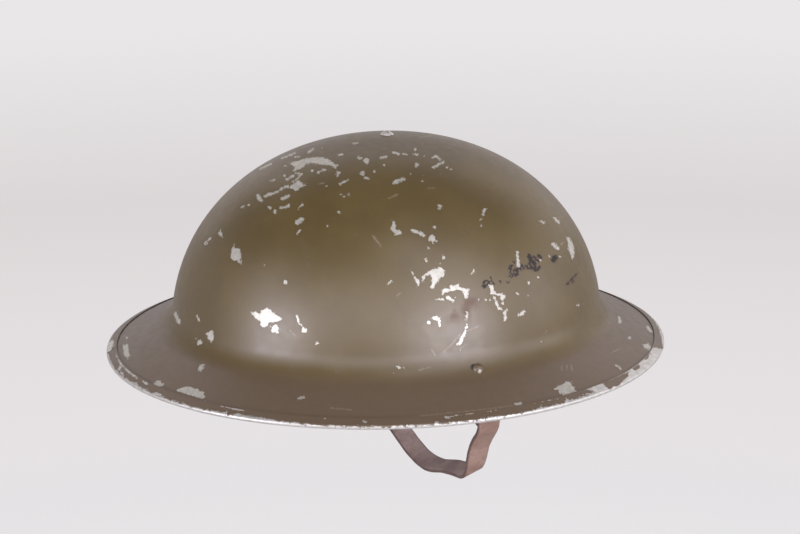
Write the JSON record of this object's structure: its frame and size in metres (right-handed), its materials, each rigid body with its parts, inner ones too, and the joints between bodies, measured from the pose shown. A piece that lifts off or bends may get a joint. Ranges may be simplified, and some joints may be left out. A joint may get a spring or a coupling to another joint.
{
  "type": "steel helmet",
  "caption": "Shallow wide-brimmed steel helmet with a folded bare steel rim band, a screwed-in oval liner and a buckled leather chin strap hung from two lugs.",
  "frame": {"origin": "centre of the plane of the rim, which is the helmet's head opening", "axes": "-Y to the front of the helmet, +Y to its back, +X to the wearer's left, +Z to the crown"},
  "size_m": [0.286, 0.305, 0.181],
  "materials": {
    "olive_paint": "satin, worn and chipped to bare steel",
    "rim_steel": "bare rolled strip with paint left on its upper face",
    "brass": "dull, aged",
    "dull_steel": "dull, oxidised",
    "rubber": "matt, aged",
    "fibre": "vulcanised fibre, matt",
    "sweat_leather": "worn smooth",
    "oilcloth": "coated cotton cloth",
    "felt": "pressed wool felt",
    "cotton": "twisted cotton lace",
    "strap_leather": "brown, dry and creased"
  },
  "bodies": {
    "helmet": {"shell": "olive_paint", "rim_band": "rim_steel", "crown_screw": "brass", "crown_disc": "rubber", "cross_band_long": "fibre", "cross_band_wide": "fibre", "crown_plate": "dull_steel", "crown_nut": "brass", "crown_pad": "felt", "liner_hoop": "fibre", "liner_rivets": "brass", "buffer_front": "rubber", "buffer_back": "rubber", "buffer_left": "rubber", "buffer_right": "rubber", "buffer_rivets": "brass", "sweatband": "sweat_leather", "lining_tongues": "oilcloth", "lace_loops": "oilcloth", "lining_lace": "cotton", "lug_left": "dull_steel", "lug_right": "dull_steel", "lug_rivet_left": "olive_paint", "lug_rivet_right": "olive_paint"},
    "strap_loop": {"strap_ring_left": "dull_steel", "strap_ring_right": "dull_steel", "chin_strap": "strap_leather", "buckle_strap": "strap_leather", "buckle_frame": "dull_steel"},
    "prong": {"buckle_prong": "dull_steel"},
    "keeper": {"strap_keeper": "strap_leather"}
  },
  "joints": [
    {"name": "strap_swing", "type": "hinge", "parent": "helmet", "child": "strap_loop", "pos_m": [0, 0, 0.00465], "axis": [1, 0, 0], "range_deg": [-36, 20]},
    {"name": "prong_lift", "type": "hinge", "parent": "strap_loop", "child": "prong", "pos_m": [-0.07842, 0.00513, -0.02827], "axis": [0, 0.9903, 0.1392], "range_deg": [0, 45]},
    {"name": "keeper_slide", "type": "slide", "parent": "strap_loop", "child": "keeper", "axis": [0.848, 0.0738, -0.5248], "range_m": [-0.006, 0.005]}
  ]
}
